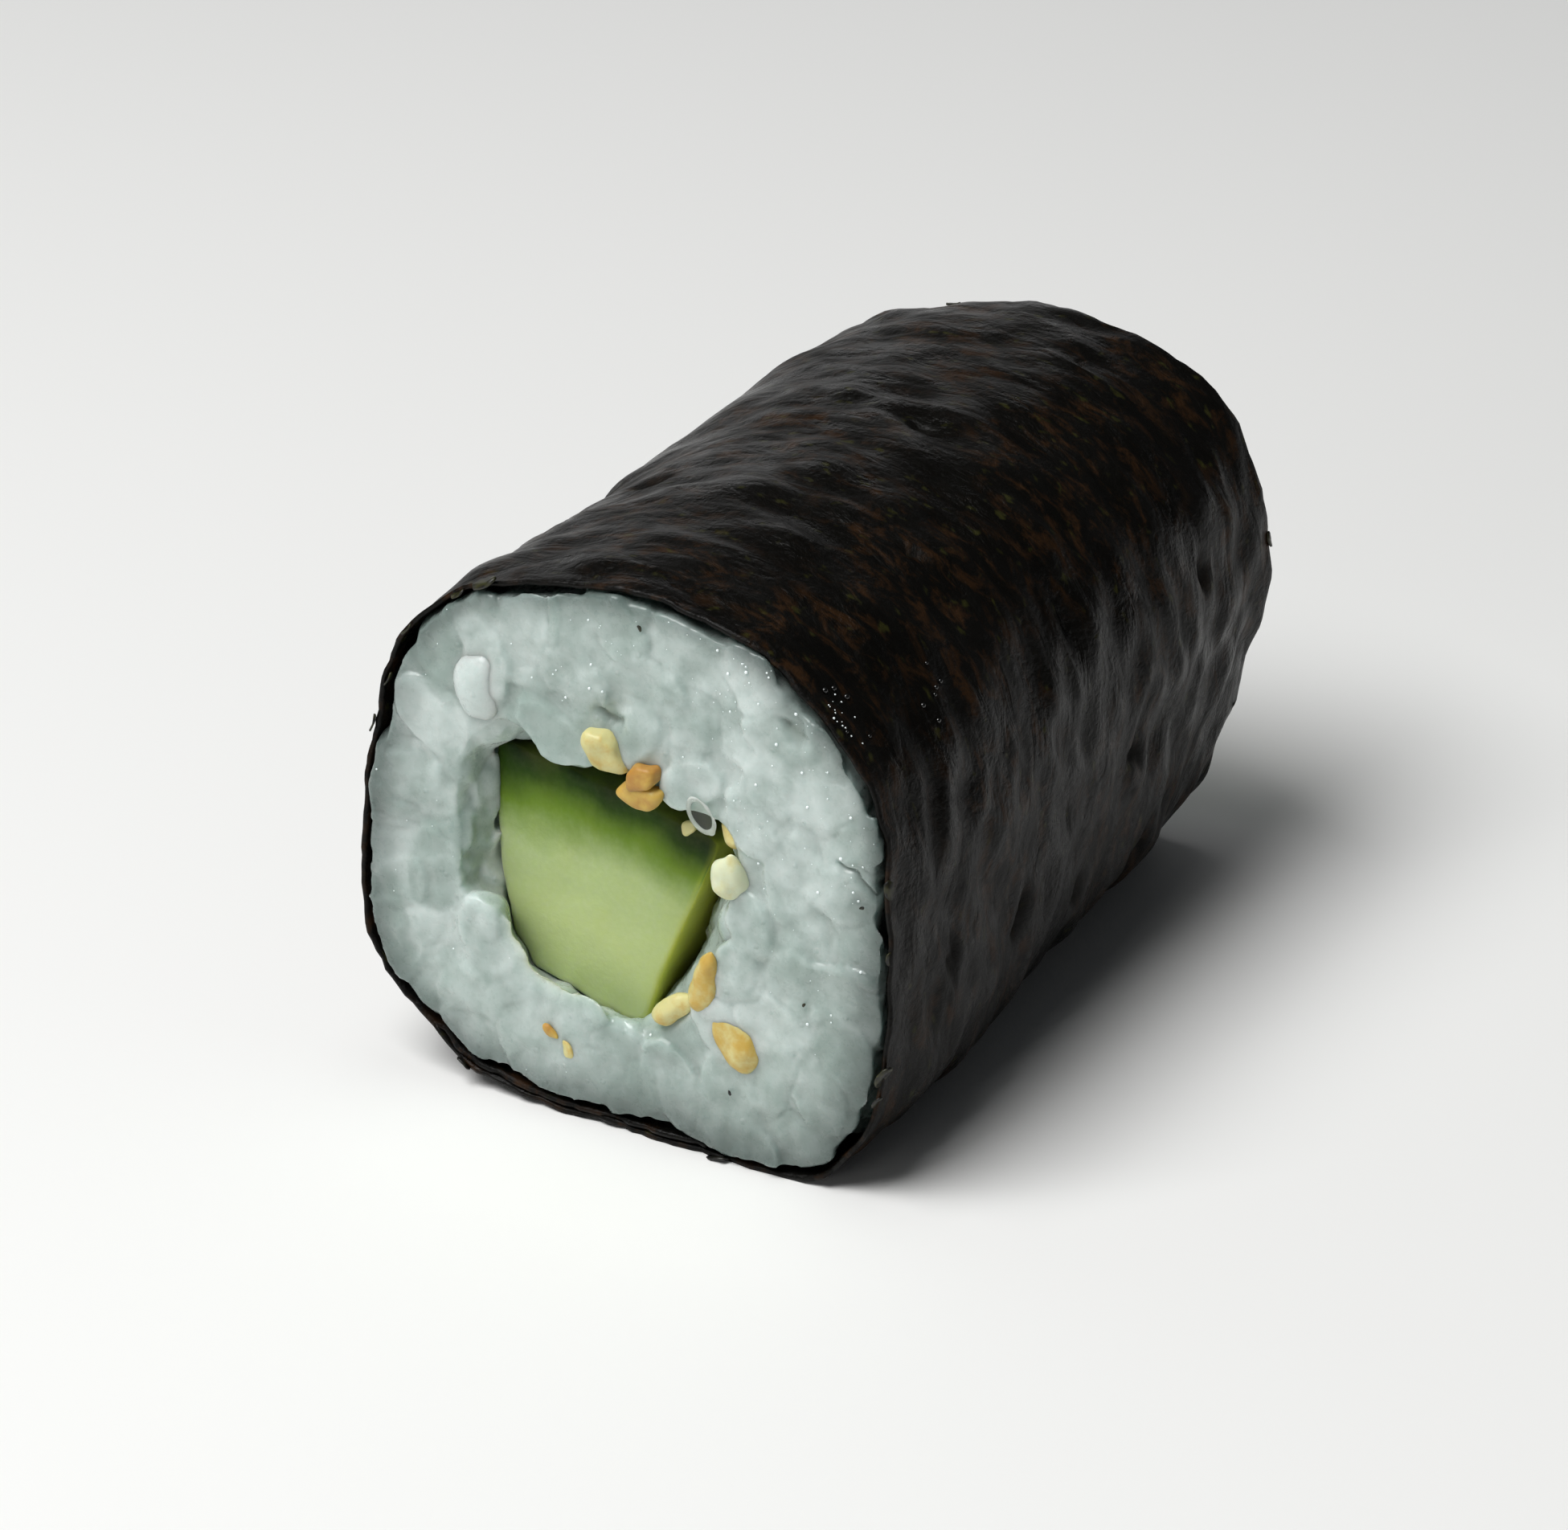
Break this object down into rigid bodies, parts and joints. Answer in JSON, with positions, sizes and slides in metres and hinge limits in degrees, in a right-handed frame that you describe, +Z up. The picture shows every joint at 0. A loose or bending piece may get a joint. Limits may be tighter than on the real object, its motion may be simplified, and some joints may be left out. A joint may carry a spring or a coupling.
{
  "type": "cucumber maki roll",
  "caption": "Cut piece of maki roll: a cylinder of rice wrapped in nori, with a stick of cucumber along its middle.",
  "frame": {"origin": "centre of the bounding box's bottom, on the flat strip that the roll rests on", "axes": "+Y along the roll from its near cut end to its far one, +Z up"},
  "size_m": [0.0286, 0.0395, 0.0277],
  "materials": {
    "nori": "toasted seaweed sheet, moist, with a soft sheen",
    "rice": "cooked short-grain rice, moist and translucent",
    "cucumber": "cut cucumber flesh with dark green skin along one side",
    "sesame": "toasted sesame seed"
  },
  "bodies": {
    "root": {"nori": "nori", "rice": "rice", "cucumber": "cucumber"}
  },
  "joints": []
}
